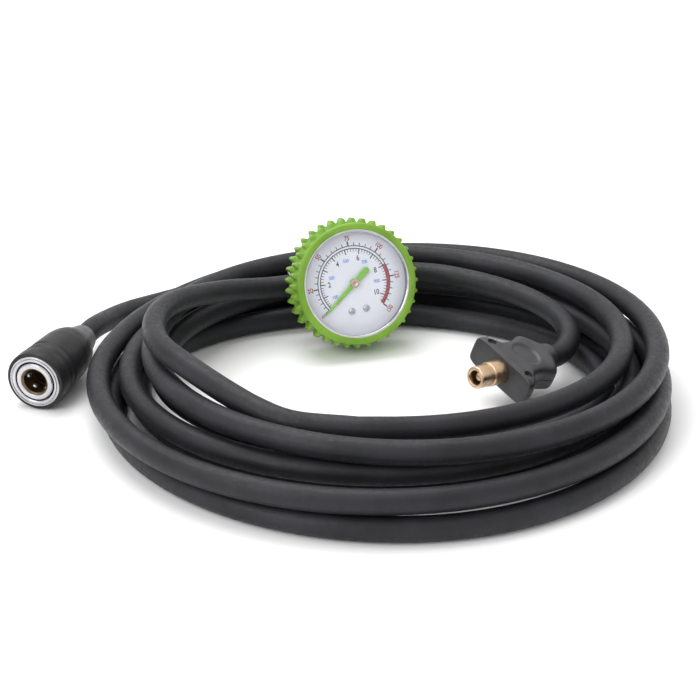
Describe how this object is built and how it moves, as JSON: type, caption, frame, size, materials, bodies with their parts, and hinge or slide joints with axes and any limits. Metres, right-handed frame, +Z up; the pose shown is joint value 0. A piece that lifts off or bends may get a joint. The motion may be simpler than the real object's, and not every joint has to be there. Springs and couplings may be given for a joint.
{
  "type": "tyre inflator hose with dial gauge",
  "caption": "Air hose laid in a pile, with a socket coupler, a winged clip-on chuck and a rubber-booted dial gauge in line; pointer, sleeve, valves and swivel move.",
  "frame": {"origin": "on the floor under the middle of the gauge head and tee, hose and end fittings left out", "axes": "+Z up, the dial faces -Y and leans back, the tee's hose run lies along X"},
  "size_m": [0.3488, 0.3271, 0.0765],
  "materials": {
    "boot_rubber": "matte",
    "case_paint": "satin",
    "chrome": "polished",
    "clear_lens": "clear",
    "black_rubber": "matte",
    "dial_white": "satin",
    "brass": "satin",
    "pointer_green": "gloss",
    "steel": "satin",
    "hose_rubber": "satin",
    "sleeve_black": "satin",
    "collar_grey": "satin",
    "grip_plastic": "matte",
    "washer_red": "matte"
  },
  "bodies": {
    "base": {"green_boot": "boot_rubber", "gauge_case": "case_paint", "bezel_ring": "chrome", "lens": "clear_lens", "lens_gasket": "black_rubber", "dial_plate": "dial_white", "dial_screws": "steel", "stop_pin": "brass", "hairspring": "brass", "sector_shaft": "steel", "movement_front_plate": "brass", "movement_back_plate": "brass", "movement_pillars": "brass", "bourdon_tube": "brass", "gauge_socket": "brass", "case_screws": "steel", "stem_washer": "washer_red", "brass_tee": "brass", "left_ferrule": "steel", "right_ferrule": "steel", "hose_lead": "hose_rubber", "hose_coil": "hose_rubber", "hose_top_run": "hose_rubber", "hose_outlet": "hose_rubber", "coupler_body": "brass", "sleeve_spring": "steel", "bore_seal": "black_rubber", "poppet_spring": "steel", "hose_adapter": "brass", "coupler_ferrule": "collar_grey", "swivel_stem": "brass", "stem_seal": "black_rubber", "chuck_ferrule": "steel"},
    "sleeve": {"coupler_sleeve": "sleeve_black", "sleeve_face_ring": "chrome"},
    "poppet": {"valve_poppet": "brass"},
    "pointer_set": {"pointer": "pointer_green", "pointer_hub": "brass", "pointer_spindle": "steel"},
    "sector": {"sector_gear": "brass"},
    "tube_end": {"tube_tip": "brass", "link": "steel"},
    "chuck_head": {"grip_top": "grip_plastic", "grip_bottom": "grip_plastic", "grip_screws": "steel", "brass_nozzle": "brass", "nozzle_seal": "black_rubber", "pin_spring": "steel"},
    "pin": {"valve_pin": "brass"},
    "ball_1": {"lock_ball_1": "steel"},
    "ball_2": {"lock_ball_2": "steel"},
    "ball_3": {"lock_ball_3": "steel"},
    "ball_4": {"lock_ball_4": "steel"},
    "ball_5": {"lock_ball_5": "steel"},
    "ball_6": {"lock_ball_6": "steel"}
  },
  "joints": [
    {"name": "sector_swing", "type": "hinge", "parent": "base", "child": "sector", "pos_m": [0.00138, -0.007, 0.02531], "axis": [0, -0.9478, 0.319], "range_deg": [0, 26.2], "stiffness_Nm_per_rad": 0.01},
    {"name": "pointer_turn", "type": "hinge", "parent": "base", "child": "pointer_set", "pos_m": [0, -0.01703, 0.04253], "axis": [0, -0.9478, 0.319], "range_deg": [-263, 0]},
    {"name": "tube_end_move", "type": "slide", "parent": "base", "child": "tube_end", "axis": [-0.1045, 0.3172, 0.9426], "range_m": [0, 0.0025]},
    {"name": "sleeve_slide", "type": "slide", "parent": "base", "child": "sleeve", "axis": [0.5446, 0.8387, 0], "range_m": [0, 0.005], "stiffness_N_per_m": 600, "springref_m": -0.004, "deforming": ["sleeve_spring"]},
    {"name": "poppet_slide", "type": "slide", "parent": "base", "child": "poppet", "axis": [0.5446, 0.8387, 0], "range_m": [0, 0.004], "stiffness_N_per_m": 500, "springref_m": -0.004, "deforming": ["poppet_spring"]},
    {"name": "chuck_swivel", "type": "hinge", "parent": "base", "child": "chuck_head", "pos_m": [0.053, -0.1044, 0.0216], "axis": [-0.8828, -0.4537, 0.1219], "continuous": true},
    {"name": "pin_slide", "type": "slide", "parent": "chuck_head", "child": "pin", "axis": [0.8828, 0.4537, -0.1219], "range_m": [0, 0.0015], "stiffness_N_per_m": 500, "springref_m": -0.004, "deforming": ["pin_spring"]},
    {"name": "ball_1_push", "type": "slide", "parent": "base", "child": "ball_1", "axis": [0.8387, -0.5446, 0], "range_m": [0, 0.0012]},
    {"name": "ball_2_push", "type": "slide", "parent": "base", "child": "ball_2", "axis": [0.4193, -0.2723, 0.866], "range_m": [0, 0.0012]},
    {"name": "ball_3_push", "type": "slide", "parent": "base", "child": "ball_3", "axis": [-0.4193, 0.2723, 0.866], "range_m": [0, 0.0012]},
    {"name": "ball_4_push", "type": "slide", "parent": "base", "child": "ball_4", "axis": [-0.8387, 0.5446, 0], "range_m": [0, 0.0012]},
    {"name": "ball_5_push", "type": "slide", "parent": "base", "child": "ball_5", "axis": [-0.4193, 0.2723, -0.866], "range_m": [0, 0.0012]},
    {"name": "ball_6_push", "type": "slide", "parent": "base", "child": "ball_6", "axis": [0.4193, -0.2723, -0.866], "range_m": [0, 0.0012]}
  ],
  "couplings": [
    {"joint": "pointer_turn", "follows": "sector_swing", "ratio": -10},
    {"joint": "tube_end_move", "follows": "sector_swing", "m_per_rad": 0.0052539},
    {"joint": "ball_1_push", "follows": "sleeve_slide", "ratio": 0.24},
    {"joint": "ball_2_push", "follows": "sleeve_slide", "ratio": 0.24},
    {"joint": "ball_3_push", "follows": "sleeve_slide", "ratio": 0.24},
    {"joint": "ball_4_push", "follows": "sleeve_slide", "ratio": 0.24},
    {"joint": "ball_5_push", "follows": "sleeve_slide", "ratio": 0.24},
    {"joint": "ball_6_push", "follows": "sleeve_slide", "ratio": 0.24}
  ]
}
